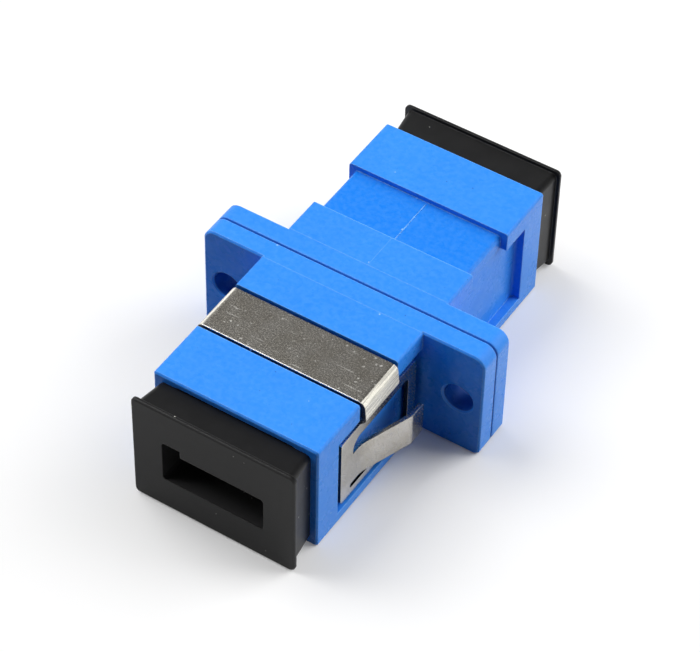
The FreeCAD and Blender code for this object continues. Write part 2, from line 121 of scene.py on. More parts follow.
class NodeSketch:
    """One node tree, drawn up a call at a time."""

    LANE = 14.0  # how many times longer than wide a scratch's cell is

    def __init__(self, tree: bpy.types.NodeTree) -> None:
        """Start from an empty tree.

        Args:
            tree: The node tree of a material or of the world.
        """
        self.tree = tree
        self.tree.nodes.clear()

    def feed(self, socket: Socket, value: object) -> None:
        """Link a socket to another, or set its plain value.

        Args:
            socket: The input to feed.
            value: The socket to link from, or a plain value.
        """
        if isinstance(value, Socket):
            self.tree.links.new(value, socket)
        else:
            socket.default_value = value

    def node(self, kind: str, inputs: dict | None = None, **settings: object) -> bpy.types.Node:
        """Add a shader node.

        Args:
            kind: The node's type, without the ShaderNode prefix.
            inputs: Values or sockets, by input name or index.
            **settings: Properties of the node, such as its operation.

        Returns:
            The new node.
        """
        made = self.tree.nodes.new("ShaderNode" + kind)
        for name, value in settings.items():
            setattr(made, name, value)
        for name, value in (inputs or {}).items():
            self.feed(made.inputs[name], value)
        return made

    def math(self, operation: str, first: object, second: object = 0.0) -> Socket:
        """Return the result of a math node on one or two values."""
        return self.node("Math", {0: first, 1: second}, operation=operation).outputs[0]

    def times(self, first: object, second: object) -> Socket:
        """Return the product of two values."""
        return self.math("MULTIPLY", first, second)

    def most(self, first: object, second: object) -> Socket:
        """Return the larger of two values."""
        return self.math("MAXIMUM", first, second)

    def above(self, value: object, limit: float) -> Socket:
        """Return 1 where a value is above a limit and 0 elsewhere."""
        return self.math("GREATER_THAN", value, limit)

    def below(self, value: object, limit: object) -> Socket:
        """Return 1 where a value is below a limit and 0 elsewhere."""
        return self.math("LESS_THAN", value, limit)

    def size(self, value: object) -> Socket:
        """Return a value without its sign."""
        return self.math("ABSOLUTE", value)

    def axes(self, vector: Socket) -> bpy.types.bpy_prop_collection:
        """Return the X, Y and Z of a vector."""
        return self.node("SeparateXYZ", {0: vector}).outputs

    def facing(self) -> bpy.types.bpy_prop_collection:
        """Return the X, Y and Z of the surface's normal."""
        return self.axes(self.node("NewGeometry").outputs["Normal"])

    def span(self, value: object, low: float, high: float, to_low: float = 0.0,
             to_high: float = 1.0) -> Socket:
        """Return a value stretched from one range to another, held at the ends of the second.

        Args:
            value: The value or socket to stretch.
            low: The start of the first range.
            high: The end of the first range.
            to_low: What low becomes.
            to_high: What high becomes.

        Returns:
            The stretched value.
        """
        inputs = {"Value": value, "From Min": low, "From Max": high, "To Min": to_low, "To Max": to_high}
        return self.node("MapRange", inputs, interpolation_type="SMOOTHSTEP").outputs["Result"]

    def blend(self, share: object, first: object, second: object, mode: str = "MIX") -> Socket:
        """Return a mix of two colours.

        Args:
            share: How much of the second shows, from 0 to 1.
            first: A colour or a socket.
            second: A colour or a socket.
            mode: How the second is laid on the first.

        Returns:
            The mixed colour.
        """
        mixed = self.node("Mix", {0: share, 6: self.rgba(first), 7: self.rgba(second)},
                          data_type="RGBA", blend_type=mode)
        return mixed.outputs[2]

    @staticmethod
    def rgba(colour: object) -> object:
        """Return a plain colour with its alpha, and a socket as it is."""
        return colour if isinstance(colour, Socket) else (*colour, 1.0)

    def place(self, stretch: Point = (1.0, 1.0, 1.0), turn: Point = (0.0, 0.0, 0.0)) -> Socket:
        """Return the object's own coordinates in millimetres, stretched and turned.

        Args:
            stretch: What each axis is multiplied by, after millimetres.
            turn: Rotation in degrees about each axis.

        Returns:
            The coordinates.
        """
        inputs = {
            "Vector": self.node("TexCoord").outputs["Object"],
            "Scale": tuple(share / MM for share in stretch),
            "Rotation": tuple(math.radians(angle) for angle in turn),
        }
        return self.node("Mapping", inputs).outputs[0]

    def noise(self, place: Socket, size: float, detail: float = 2.0) -> Socket:
        """Return cloud noise from 0 to 1, with lumps of a size in millimetres."""
        inputs = {"Vector": place, "Scale": 1.0 / size, "Detail": detail, "Roughness": 0.55}
        return self.node("TexNoise", inputs).outputs[0]

    def clouds(self, place: Socket, clouds: Clouds, to_low: float = 0.0, to_high: float = 1.0) -> Socket:
        """Return clouds of noise stretched to a range.

        Args:
            place: The coordinates in millimetres.
            clouds: The clouds.
            to_low: What the low end of their range becomes.
            to_high: What the high end becomes.

        Returns:
            The clouds.
        """
        lumps = self.noise(place, clouds.size, clouds.detail)
        return self.span(lumps, clouds.low, clouds.high, to_low, to_high)

    def specks(self, place: Socket, marks: Marks) -> Socket:
        """Return the weight of the marks on scattered ragged specks and 0 between them.

        Each cell of a Voronoi pattern holds one speck at its point, and only a share of the cells keep it.
        A speck's edge is pushed in and out by noise of its own size.

        Args:
            place: The coordinates in millimetres.
            marks: The specks. Their radius is that of the largest.

        Returns:
            The mask.
        """
        cells = self.node("TexVoronoi", {"Vector": place, "Scale": 1.0 / marks.spacing}, feature="F1")
        draw = self.node("SeparateColor", {0: cells.outputs["Color"]}).outputs[0]
        largest = marks.radius / marks.spacing
        grown = self.span(draw, 0.0, marks.share, 0.45 * largest, largest)
        ragged = self.clouds(place, Clouds(marks.radius), -0.4 * largest, 0.5 * largest)
        near = self.below(self.math("ADD", cells.outputs["Distance"], ragged), grown)
        kept = self.times(near, self.below(draw, marks.share))
        return kept if marks.weight == 1.0 else self.times(kept, marks.weight)

    def scratches(self, marks: Marks) -> Socket:
        """Return 1 on thin straight scratches seen from above and 0 elsewhere.

        The pattern is a set of long narrow Voronoi cells: a scratch is where the distance to a cell's point
        is small across the cell, and only a share of the cells have one.

        Args:
            marks: The scratches. Their radius is half a scratch's width.

        Returns:
            The mask.
        """
        place = self.place((1.0 / self.LANE, 1.0, 1.0 / self.LANE), (0.0, 0.0, marks.turn))
        return self.specks(place, marks)

    def crevice_shade(self, reach: float) -> Socket:
        """Return a mask for painted shade in the narrow gaps and corners that walls within a reach in
        millimetres close in.
        """
        open_share = self.node("AmbientOcclusion", {"Distance": reach * MM}, samples=6).outputs["AO"]
        return self.span(open_share, 0.10, 0.50, 0.9, 0.0)

    def rounded_edge(self, radius: float) -> tuple[Socket, Socket]:
        """Return the rounded normal of sharp edges, and a mask of those edges, where highlights are painted.

        The mask is one minus the dot product of the rounded and the true normal.

        Args:
            radius: How far from an edge the rounding reaches, in millimetres.

        Returns:
            The normal and the mask.
        """
        soft = self.node("Bevel", {"Radius": radius * MM}, samples=6).outputs[0]
        true = self.node("NewGeometry").outputs["Normal"]
        dot = self.node("VectorMath", {0: soft, 1: true}, operation="DOT_PRODUCT").outputs["Value"]
        return soft, self.math("SUBTRACT", 1.0, dot)

    def bump(self, height: object, depth: float, normal: Socket) -> Socket:
        """Return a normal pushed by a height from 0 to 1, whose full depth is in millimetres."""
        inputs = {"Height": height, "Distance": depth * MM, "Strength": 1.0, "Normal": normal}
        return self.node("Bump", inputs).outputs[0]


def dimmed(colour: Colour, share: float) -> Colour:
    """Return a colour scaled down to a share of its brightness."""
    return tuple(share * part for part in colour)


def new_material(name: str) -> tuple[bpy.types.Material, NodeSketch, bpy.types.Node]:
    """Start a surface material.

    Args:
        name: The material's name.

    Returns:
        The material, the sketch of its tree and its Principled shader.
    """
    material = bpy.data.materials.new(name)
    material.use_nodes = True
    sketch = NodeSketch(material.node_tree)
    shader = sketch.node("BsdfPrincipled")
    sketch.node("OutputMaterial", {"Surface": shader.outputs[0]})
    return material, sketch, shader


@dataclass(frozen=True)
class MouldedBlue:
    """Satin blue engineering plastic of the housing halves, straight from a lightly grained mould, with
    painted shade on faces that look toward -Y, in crevices, the seam and the screw holes, and painted
    highlights on the edges.
    """

    name: str = "moulded_blue"
    colour: Colour = (0.028, 0.243, 0.85)
    streak: Colour = (0.032, 0.258, 0.87)
    seat: Colour = (0.009, 0.202, 0.79)
    # Painted shade: a deeper blue for faces that look toward -Y.
    front_facing_shade: Colour = (0.008, 0.203, 0.86)
    # Painted shade for narrow gaps and corners.
    crevice_shade: Colour = (0.002, 0.035, 0.24)
    # Painted shade for the seam between the halves and the inside of the screw holes.
    recess_shade: Colour = (0.005, 0.075, 0.40)
    # Painted highlight colour of the edges and mould lines, also the pale side of the fine mottle.
    highlight_tint: Colour = (0.22, 0.53, 0.99)
    pale_colour: Colour = (0.45, 0.70, 0.98)
    streaks: Clouds = Clouds(5.0, 3.0, 0.35, 0.68)
    mottle: Clouds = Clouds(0.35, 3.0)
    mottle_most: float = 0.10
    dark_specks: Marks = Marks(0.85, 0.06, 0.38, 0.60)
    pale_specks: Marks = Marks(1.3, 0.07, 0.22, 0.60)
    pale_turn: Point = (31.0, 17.0, 50.0)
    patches: Clouds = Clouds(1.6, 3.0)
    roughness: Range = (0.24, 0.31)
    gloss: float = 0.22
    grain: float = 0.11
    grain_depth: float = 0.0015
    edge_radius: float = 0.10
    highlight_to: float = 0.11
    highlight_most: float = 0.80
    front_facing_from: Range = (-0.9, -0.5)
    crevice_reach: float = 0.5
    mould_step: float = 1.6
    land_end: float = 4.65
    seat_end: float = 9.15
    seat_low: float = 4.10
    seat_high: float = 4.30
    top_from: float = 4.5
    upward: float = 0.9
    line_half: float = 0.035
    line_share: float = 0.30
    line_depth: float = 0.01
    seam_half: float = 0.08
    hole_x: float = 9.15
    hole_radius: float = 1.13
    recess_shade_share: float = 0.85

    def flow(self, sketch: NodeSketch) -> Socket:
        """Return the base colour: melt flow clouds, the seats' deeper blue, painted shade on faces that look
        toward -Y, fine mottle, and dark and pale specks.

        Args:
            sketch: The sketch that the nodes are added to.

        Returns:
            The colour socket.
        """
        place = sketch.place()
        tone = sketch.blend(sketch.clouds(place, self.streaks), self.colour, self.streak)
        tone = sketch.blend(self.seats(sketch), tone, self.seat)
        # Painted shade: faces that look toward -Y are blended to a deeper blue.
        tone = sketch.blend(sketch.span(sketch.facing()[1], *self.front_facing_from, 1.0, 0.0), tone, self.front_facing_shade)
        # The fine mottle is random tone toward the same pale tint.
        tone = sketch.blend(sketch.clouds(place, self.mottle, 0.0, self.mottle_most), tone, self.highlight_tint)
        tone = sketch.blend(sketch.specks(place, self.dark_specks), tone, dimmed(self.colour, 0.45))
        return sketch.blend(sketch.specks(sketch.place(turn=self.pale_turn), self.pale_specks), tone,
                            self.pale_colour)

    def seats(self, sketch: NodeSketch) -> Socket:
        """Return a mask of the clip seats' floors across the top, which are painted a deeper blue.

        Args:
            sketch: The sketch that the nodes are added to.

        Returns:
            The mask socket.
        """
        parts = sketch.axes(sketch.place())
        sunk = sketch.times(sketch.above(parts[2], self.seat_low), sketch.below(parts[2], self.seat_high))
        along = sketch.size(parts[1])
        return sketch.times(sunk, sketch.times(sketch.above(along, self.land_end),
                                               sketch.below(along, self.seat_end)))

    def sunk(self, sketch: NodeSketch) -> Socket:
        """Return a mask of the seam between the halves and of the inside of the two screw holes, where shade
        is painted.

        Args:
            sketch: The sketch that the nodes are added to.

        Returns:
            The mask socket.
        """
        parts = sketch.axes(sketch.place())
        seam = sketch.below(sketch.size(parts[1]), self.seam_half)
        off_axis = sketch.math("SUBTRACT", sketch.size(parts[0]), self.hole_x)
        across = sketch.math("ADD", sketch.times(off_axis, off_axis), sketch.times(parts[2], parts[2]))
        return sketch.most(seam, sketch.below(across, self.hole_radius * self.hole_radius))

    def witness(self, sketch: NodeSketch) -> Socket:
        """Return a mask of the mould's lines on the top: across at the flange, along at the middle. They are
        bumped, and painted paler as a painted highlight along them.

        Args:
            sketch: The sketch that the nodes are added to.

        Returns:
            The mask socket.
        """
        parts = sketch.axes(sketch.place())
        away = sketch.size(sketch.math("SUBTRACT", sketch.size(parts[1]), self.mould_step))
        across = sketch.span(away, 0.0, self.line_half, 1.0, 0.0)
        middle = sketch.span(sketch.size(parts[0]), 0.0, self.line_half, 1.0, 0.0)
        start = sketch.above(parts[1], self.mould_step)
        along = sketch.times(sketch.times(middle, start), sketch.below(parts[1], self.land_end))
        lines = sketch.times(sketch.most(across, along), sketch.above(parts[2], self.top_from))
        return sketch.times(lines, sketch.above(sketch.facing()[2], self.upward))

    def build(self) -> bpy.types.Material:
        """Return the node material.

        Returns:
            The material.
        """
        material, sketch, shader = new_material(self.name)
        place = sketch.place()
        soft, edge = sketch.rounded_edge(self.edge_radius)
        lines = self.witness(sketch)
        # Painted highlight: rounded edges are lightened toward the highlight tint.
        edge_highlight = sketch.span(edge, 0.0, self.highlight_to, 0.0, self.highlight_most)
        # The mould lines are real ridges, also painted paler as a painted highlight along them.
        marked = sketch.most(edge_highlight, sketch.times(lines, self.line_share))
        tone = sketch.blend(marked, self.flow(sketch), self.highlight_tint)
        # Painted shade in the seam and the screw holes.
        tone = sketch.blend(sketch.times(self.sunk(sketch), self.recess_shade_share), tone, self.recess_shade)
        # Painted shade: narrow gaps and corners darken to a near-black blue.
        tone = sketch.blend(sketch.crevice_shade(self.crevice_reach), tone, self.crevice_shade)
        sketch.feed(shader.inputs["Base Color"], tone)
        sketch.feed(shader.inputs["Roughness"], sketch.clouds(place, self.patches, *self.roughness))
        normal = sketch.bump(sketch.noise(place, self.grain, 2.0), self.grain_depth, soft)
        sketch.feed(shader.inputs["Normal"], sketch.bump(lines, self.line_depth, normal))
        shader.inputs["IOR"].default_value = 1.5
        shader.inputs["Specular IOR Level"].default_value = self.gloss
        return material


@dataclass(frozen=True)
class SatinSteel:
    """Rolled stainless spring steel: warm grey and pitted, with painted glints and real scratches, a painted
    sheen on the legs, painted highlights on the edges and painted shade on the cut edges.
    """

    name: str = "satin_spring_steel"
    colour: Colour = (0.70, 0.67, 0.615)
    dull: Colour = (0.59, 0.555, 0.49)
    # Painted highlight on the edges and the panel's top ledge, also the pale colour of glints and scratches.
    bright: Colour = (0.95, 0.94, 0.90)
    # Painted sheen of the legs' outside.
    leg_sheen: Colour = (1.0, 0.97, 0.86)
    # Painted shade on the cut edges that face along Y and on the lower slot's floor.
    cut: Colour = (0.035, 0.035, 0.038)
    patches: Clouds = Clouds(1.4, 4.0, 0.32, 0.68)
    roughness: Range = (0.15, 0.31)
    pit: float = 0.11
    pit_depth: float = 0.0032
    pit_most: float = 0.40
    rolled: float = 0.05
    rolled_depth: float = 0.0012
    edge_radius: float = 0.10
    edge_from: Range = (0.02, 0.3)
    edge_most: float = 0.8
    clusters: Clouds = Clouds(1.9, 2.0, 0.46, 0.60)
    glints: Marks = Marks(0.30, 0.085, 0.40)
    stray: Marks = Marks(0.8, 0.08, 0.40)
    stray_turn: Point = (10.0, 20.0, 40.0)
    glint_share: float = 0.45
    long_scratches: Marks = Marks(0.27, 0.040, 0.40, turn=24.0)
    short_scratches: Marks = Marks(0.33, 0.036, 0.40, turn=-58.0)
    scratch_share: float = 0.32
    glint_and_scratch_dulls: float = 0.85
    leg_dulls: float = 0.8
    leg_x: float = 6.12
    leg_z: float = 2.45
    rim: float = 4.42
    panel_top: float = 2.35
    slot_below: float = -1.5
    end_facing: float = 0.9
    upward: float = 0.7
    ridge: float = 0.20
    ridge_depth: float = 0.03
    crack_half: float = 0.09
    crack_most: float = 0.8

    def leg(self, sketch: NodeSketch, parts: bpy.types.bpy_prop_collection) -> Socket:
        """Return a mask of the legs' outside, from the panel's top edge to the bend into the band, where a
        sheen is painted.
        """
        outside = sketch.above(sketch.size(parts[0]), self.leg_x)
        return sketch.times(outside, sketch.above(parts[2], self.leg_z))

    def ribbed(self, sketch: NodeSketch, lines: Socket) -> Socket:
        """Return the legs' painted sheen with dark cracks where the bent skin's lines are halfway up.

        Args:
            sketch: The sketch that the nodes are added to.
            lines: The noise that draws the bent skin's lines.

        Returns:
            The colour socket.
        """
        off = sketch.size(sketch.math("SUBTRACT", lines, 0.5))
        return sketch.blend(sketch.span(off, 0.0, self.crack_half, self.crack_most, 0.0), self.leg_sheen,
                            dimmed(self.leg_sheen, 0.45))

    def cut_edge_shade(self, sketch: NodeSketch, parts: bpy.types.bpy_prop_collection, upward: Socket) -> Socket:
        """Return a mask of the painted shade on the cut edges that face along Y, and on the floor of the lower
        slot.

        Args:
            sketch: The sketch that the nodes are added to.
            parts: The X, Y and Z of the place.
            upward: A mask of the faces that look up.

        Returns:
            The mask socket.
        """
        ends = sketch.above(sketch.size(sketch.facing()[1]), self.end_facing)
        slot = sketch.times(upward, sketch.below(parts[2], self.slot_below))
        return sketch.most(sketch.times(ends, sketch.below(parts[2], self.rim)), slot)

    def glints_and_scratches(self, sketch: NodeSketch, place: Socket) -> Socket:
        """Return a mask of pale marks: clustered and stray painted glints, and a few thin real scratches.

        Args:
            sketch: The sketch that the nodes are added to.
            place: The place to draw the marks at.

        Returns:
            The mask socket.
        """
        glints = sketch.times(sketch.specks(place, self.glints), sketch.clouds(place, self.clusters))
        scratches = sketch.most(sketch.scratches(self.long_scratches), sketch.scratches(self.short_scratches))
        stray = sketch.specks(sketch.place(turn=self.stray_turn), self.stray)
        pale = sketch.times(sketch.most(glints, stray), self.glint_share)
        return sketch.most(pale, sketch.times(scratches, self.scratch_share))

    def build(self) -> bpy.types.Material:
        """Return the node material.

        Returns:
            The material.
        """
        material, sketch, shader = new_material(self.name)
        place = sketch.place()
        parts = sketch.axes(place)
        upward = sketch.above(sketch.facing()[2], self.upward)
        soft, edge = sketch.rounded_edge(self.edge_radius)
        pits = sketch.noise(place, self.pit, 6.0)
        leg = self.leg(sketch, parts)
        lines = sketch.noise(sketch.place((0.6, 0.03, 1.0)), self.ridge, 2.0)
        glints_and_scratches = self.glints_and_scratches(sketch, place)
        tone = sketch.blend(sketch.clouds(place, self.patches), self.dull, self.colour)
        tone = sketch.blend(sketch.span(pits, 0.3, 0.6, self.pit_most, 0.0), tone, dimmed(self.dull, 0.6))
        # Painted highlight: the rounded edges are lightened.
        tone = sketch.blend(sketch.span(edge, *self.edge_from, 0.0, self.edge_most), tone, self.bright)
        # Painted sheen: the legs take a pale cream and lose part of their metal, so they read as lit.
        tone = sketch.blend(leg, tone, self.ribbed(sketch, lines))
        # Painted shade: the cut edges and the lower slot's floor go near-black.
        tone = sketch.blend(self.cut_edge_shade(sketch, parts, upward), tone, self.cut)
        # Painted highlight along the panel's top ledge.
        ledge_highlight = sketch.times(upward, sketch.math("COMPARE", parts[2], self.panel_top))
        tone = sketch.blend(ledge_highlight, tone, self.bright)
        # Painted glints and real scratches: pale, and less metallic so that they read bright.
        sketch.feed(shader.inputs["Base Color"], sketch.blend(glints_and_scratches, tone, self.bright))
        pale = sketch.most(sketch.times(glints_and_scratches, self.glint_and_scratch_dulls), sketch.times(leg, self.leg_dulls))
        sketch.feed(shader.inputs["Metallic"], sketch.math("SUBTRACT", 1.0, pale))
        smooth, rough = self.roughness
        sketch.feed(shader.inputs["Roughness"], sketch.span(pits, 0.3, 0.7, rough, smooth))
        normal = sketch.bump(pits, self.pit_depth, soft)
        rolled = sketch.noise(sketch.place((0.12, 1.0, 1.0)), self.rolled, 2.0)
        normal = sketch.bump(rolled, self.rolled_depth, normal)
        sketch.feed(shader.inputs["Normal"], sketch.bump(sketch.times(lines, leg), self.ridge_depth, normal))
        return material


@dataclass(frozen=True)
class SoftBlack:
    """Soft black plastic of the dust caps: satin, finely grained, with painted grey highlights on the rims,
    painted light in the grip slot, and stray dust.
    """

    name: str = "soft_black_plastic"
    colour: Colour = (0.0075, 0.0075, 0.0078)
    cloudy: Colour = (0.0088, 0.0088, 0.0092)
    # Painted highlight colour of the rims.
    highlight_tint: Colour = (0.13, 0.125, 0.115)
    dust_colour: Colour = (0.55, 0.54, 0.50)
    # Painted light: the dim grey of the grip slot's inside.
    inside: Colour = (0.036, 0.036, 0.037)
    haze: Clouds = Clouds(2.6, 4.0, 0.32, 0.7)
    ragged: Clouds = Clouds(0.22, 3.0, 0.25, 0.6)
    dust: Marks = Marks(0.8, 0.06, 0.42, 0.75)
    patches: Clouds = Clouds(1.1, 3.0)
    roughness: Range = (0.30, 0.35)
    gloss: float = 0.27
    slot_reach: Point = (4.3, 16.5, 2.2)
    grain: float = 0.10
    grain_depth: float = 0.002
    edge_radius: float = 0.12
    edge_from: Range = (0.02, 0.30)
    highlight_most: float = 0.20

    def slot_painted_light(self, sketch: NodeSketch) -> Socket:
        """Return a mask of the grip slot's inside, where light is painted.

        Args:
            sketch: The sketch that the nodes are added to.

        Returns:
            The mask socket.
        """
        mask: object = 1.0
        for part, reach in zip(sketch.axes(sketch.place()), self.slot_reach):
            mask = sketch.times(mask, sketch.below(sketch.size(part), reach))
        return mask

    def build(self) -> bpy.types.Material:
        """Return the node material.

        Returns:
            The material.
        """
        material, sketch, shader = new_material(self.name)
        place = sketch.place()
        soft, edge = sketch.rounded_edge(self.edge_radius)
        # Painted highlight: grey on the rims, broken up by ragged clouds.
        edge_highlight = sketch.times(sketch.span(edge, *self.edge_from, 0.0, self.highlight_most),
                              sketch.clouds(place, self.ragged))
        tone = sketch.blend(sketch.clouds(place, self.haze), self.colour, self.cloudy)
        tone = sketch.blend(edge_highlight, tone, self.highlight_tint)
        # Painted light in the grip slot's inside.
        tone = sketch.blend(self.slot_painted_light(sketch), tone, self.inside)
        tone = sketch.blend(sketch.specks(place, self.dust), tone, self.dust_colour)
        sketch.feed(shader.inputs["Base Color"], tone)
        sketch.feed(shader.inputs["Roughness"], sketch.clouds(place, self.patches, *self.roughness))
        normal = sketch.bump(sketch.noise(place, self.grain, 2.0), self.grain_depth, soft)
        sketch.feed(shader.inputs["Normal"], normal)
        shader.inputs["IOR"].default_value = 1.5
        shader.inputs["Specular IOR Level"].default_value = self.gloss
        return material


@dataclass(frozen=True)
class NaturalAcetal:
    """Unpigmented, slightly waxy plastic of the latch holders."""

    name: str = "natural_acetal"
    colour: Colour = (0.70, 0.69, 0.63)
    shade: Colour = (0.60, 0.585, 0.52)
    # Painted highlight colour of the edges.
    highlight_tint: Colour = (0.86, 0.855, 0.81)
    haze: Clouds = Clouds(2.0, 3.0)
    patches: Clouds = Clouds(0.8)
    roughness: Range = (0.33, 0.45)
    grain: float = 0.14
    grain_depth: float = 0.002
    edge_radius: float = 0.08
    edge_to: float = 0.25
    edge_most: float = 0.5
    glow_share: float = 0.12
    glow_reach: float = 0.4

    def build(self) -> bpy.types.Material:
        """Return the node material.

        Returns:
            The material.
        """
        material, sketch, shader = new_material(self.name)
        place = sketch.place()
        soft, edge = sketch.rounded_edge(self.edge_radius)
        tone = sketch.blend(sketch.clouds(place, self.haze), self.shade, self.colour)
        # Painted highlight: edges lightened toward the highlight tint.
        tone = sketch.blend(sketch.span(edge, 0.0, self.edge_to, 0.0, self.edge_most), tone, self.highlight_tint)
        sketch.feed(shader.inputs["Base Color"], tone)
        sketch.feed(shader.inputs["Roughness"], sketch.clouds(place, self.patches, *self.roughness))
        normal = sketch.bump(sketch.noise(place, self.grain), self.grain_depth, soft)
        sketch.feed(shader.inputs["Normal"], normal)
        shader.inputs["Subsurface Weight"].default_value = self.glow_share
        shader.inputs["Subsurface Scale"].default_value = self.glow_reach * MM
        return material


@dataclass(frozen=True)
class GroundCeramic:
    """White zirconia of the split sleeve, ground round its axis."""

    name: str = "ground_white_ceramic"
    colour: Colour = (0.84, 0.84, 0.81)
    shade: Colour = (0.74, 0.74, 0.70)
    haze: Clouds = Clouds(1.2)
    roughness: Range = (0.12, 0.24)
    ring: float = 0.03
    ring_stretch: Point = (0.05, 1.0, 0.05)
    ring_depth: float = 0.0008
    edge_radius: float = 0.05
    edge_to: float = 0.3
    edge_most: float = 0.4

    def build(self) -> bpy.types.Material:
        """Return the node material.

        Returns:
            The material.
        """
        material, sketch, shader = new_material(self.name)
        soft, edge = sketch.rounded_edge(self.edge_radius)
        rings = sketch.noise(sketch.place(self.ring_stretch), self.ring, 2.0)
        tone = sketch.blend(sketch.clouds(sketch.place(), self.haze), self.shade, self.colour)
        # Painted highlight: edges lightened toward the plain colour.
        tone = sketch.blend(sketch.span(edge, 0.0, self.edge_to, 0.0, self.edge_most), tone, self.colour)
        sketch.feed(shader.inputs["Base Color"], tone)
        sketch.feed(shader.inputs["Roughness"], sketch.span(rings, 0.3, 0.7, *self.roughness))
        sketch.feed(shader.inputs["Normal"], sketch.bump(rings, self.ring_depth, soft))
        return material


# ---------------------------------------------------------------------------------------------------------
# Sub-assemblies
# ---------------------------------------------------------------------------------------------------------


def dress(node: str, material: bpy.types.Material) -> bpy.types.Object:
    """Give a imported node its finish.

    Args:
        node: The node's name.
        material: The finish for every material slot of the node.

    Returns:
        The node's object.
    """
    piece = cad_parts[node]
    piece.data.materials.clear()
    piece.data.materials.append(material)
    log.info("dressed %s in %s", node, material.name)
    return piece


def mesh_piece(name: str, points: np.ndarray, faces: np.ndarray, body: Body,
               material: bpy.types.Material) -> bpy.types.Object:
    """Make a mesh object that rides on a body.

    Args:
        name: The piece's name.
        points: Corner points in millimetres, one row each.
        faces: Corner indices of the four-sided faces, one row each.
        body: The body that it moves with.
        material: Its finish.

    Returns:
        The new object.
    """
    mesh = bpy.data.meshes.new(name)
    mesh.from_pydata((points * MM).tolist(), [], faces.tolist())
    mesh.validate()
    mesh.materials.append(material)
    piece = bpy.data.objects.new(name, mesh)
    bpy.context.scene.collection.objects.link(piece)
    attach(piece, body.value)
    log.info("built %s: %d faces on %s", name, len(faces), body.value)
    return piece


def swept_ridge(path: np.ndarray, width: np.ndarray, height: np.ndarray,
                steps: int) -> tuple[np.ndarray, np.ndarray]:
    """Return a low closed ridge that runs along Y over the top of a part.

    At each point of the path the section is half an ellipse, across X and up Z, of that width and height,
    closed underneath by a flat chord sunk below the surface. The two ends shrink to nothing as the width and
    height do.

    Args:
        path: Centre points in millimetres, one row each.
        width: The ridge's width at each point.
        height: The ridge's height at each point.
        steps: How many points make each half ellipse.

    Returns:
        The corner points and the faces.
    """
    angle = np.linspace(math.pi, 0.0, steps)
    across = np.cos(angle)[None, :] * width[:, None] / 2
    up = np.sin(angle)[None, :] * height[:, None]
    along = np.repeat(path[:, 1, None], steps, 1)
    arch = np.stack([path[:, 0, None] + across, along, path[:, 2, None] + up], -1)
    foot = arch[:, [-1, 0]] - np.array([0.0, 0.0, 1.0]) * (height[:, None, None] * 0.6 + 0.002)
    rings = np.concatenate([arch, foot], 1)
    rows, around = rings.shape[:2]
    row, column = np.meshgrid(np.arange(rows - 1), np.arange(around), indexing="ij")
    following = (column + 1) % around
    faces = np.stack([row * around + column, (row + 1) * around + column,
                      (row + 1) * around + following, row * around + following], -1).reshape(-1, 4)
    half = around // 2
    caps = []
    for base, order in ((0, 1), ((rows - 1) * around, -1)):
        left = base + np.arange(half - 1)
        right = base + around - 1 - np.arange(half - 1)
        quads = np.stack([left, left + 1, right - 1, right], -1)
        caps.append(quads[:, ::order])
    return rings.reshape(-1, 3), np.concatenate([faces, *caps])


@dataclass
class Housing:
    """The two moulded halves with their flange, ports and clip seats."""

    finish: MouldedBlue = field(default_factory=MouldedBlue)
    groove_start: float = 4.66
    groove_end: float = 9.13
    groove_top: float = 4.20
    line_width: float = 0.07
    line_height: float = 0.022
    line_points: int = 120
    # The mould line is real flash, painted paler as a painted highlight along its crest.
    flash_highlight: MouldedBlue = MouldedBlue(name="moulded_blue_flash_highlight", colour=(0.14, 0.40, 0.95),
                                     streak=(0.18, 0.44, 0.95), seat=(0.16, 0.42, 0.95))

    def dress(self) -> None:
        """Give both halves the blue finish."""
        material = self.finish.build()
        for node in ("front_housing", "rear_housing"):
            dress(node, material)

    def build_mould_line(self) -> bpy.types.Object:
        """Return the raised line that the mould leaves along the middle of the rear half's empty clip seat, in
        a paler blue that paints a highlight along it.

        The line runs straight along Y. Its width and height are a steady value times one plus a sum of two
        sines, fading in and out over the last tenth of its length.

        Returns:
            The ridge.
        """
        share = np.linspace(0.0, 1.0, self.line_points)
        fade = np.clip(np.minimum(share, 1.0 - share) / 0.1, 0.02, 1.0)
        swell = 1.0 + 0.30 * np.sin(23.0 * share) + 0.18 * np.sin(61.0 * share + 1.0)
        along = self.groove_start + share * (self.groove_end - self.groove_start)
        drift = 0.015 * np.sin(7.0 * share)
        path = np.stack([drift, along, np.full_like(share, self.groove_top)], -1)
        points, faces = swept_ridge(path, self.line_width * swell * fade, self.line_height * swell * fade, 8)
        return mesh_piece("mould_line_rear", points, faces, Body.ADAPTER, self.flash_highlight.build())


@dataclass
class SpringClip:
    """The folded steel clip over the front half."""

    finish: SatinSteel = field(default_factory=SatinSteel)

    def dress(self) -> None:
        """Give the clip its steel finish."""
        dress("spring_clip", self.finish.build())


@dataclass
class LatchCore:
    """The latch holders and the split sleeve inside the housing."""

    holder_finish: NaturalAcetal = field(default_factory=NaturalAcetal)
    sleeve_finish: GroundCeramic = field(default_factory=GroundCeramic)

    def dress(self) -> None:
        """Give the holders and the sleeve their finishes."""
        holder = self.holder_finish.build()
        for node in ("front_latch_holder", "rear_latch_holder"):
            dress(node, holder)
        dress("alignment_sleeve", self.sleeve_finish.build())


@dataclass
class DustCaps:
    """The two black caps that plug the ports."""

    finish: SoftBlack = field(default_factory=SoftBlack)

    def dress(self) -> None:
        """Give both caps the black finish."""
        material = self.finish.build()
        for node in ("front_dust_cap", "rear_dust_cap"):
            dress(node, material)


# ---------------------------------------------------------------------------------------------------------
# Studio
# ---------------------------------------------------------------------------------------------------------


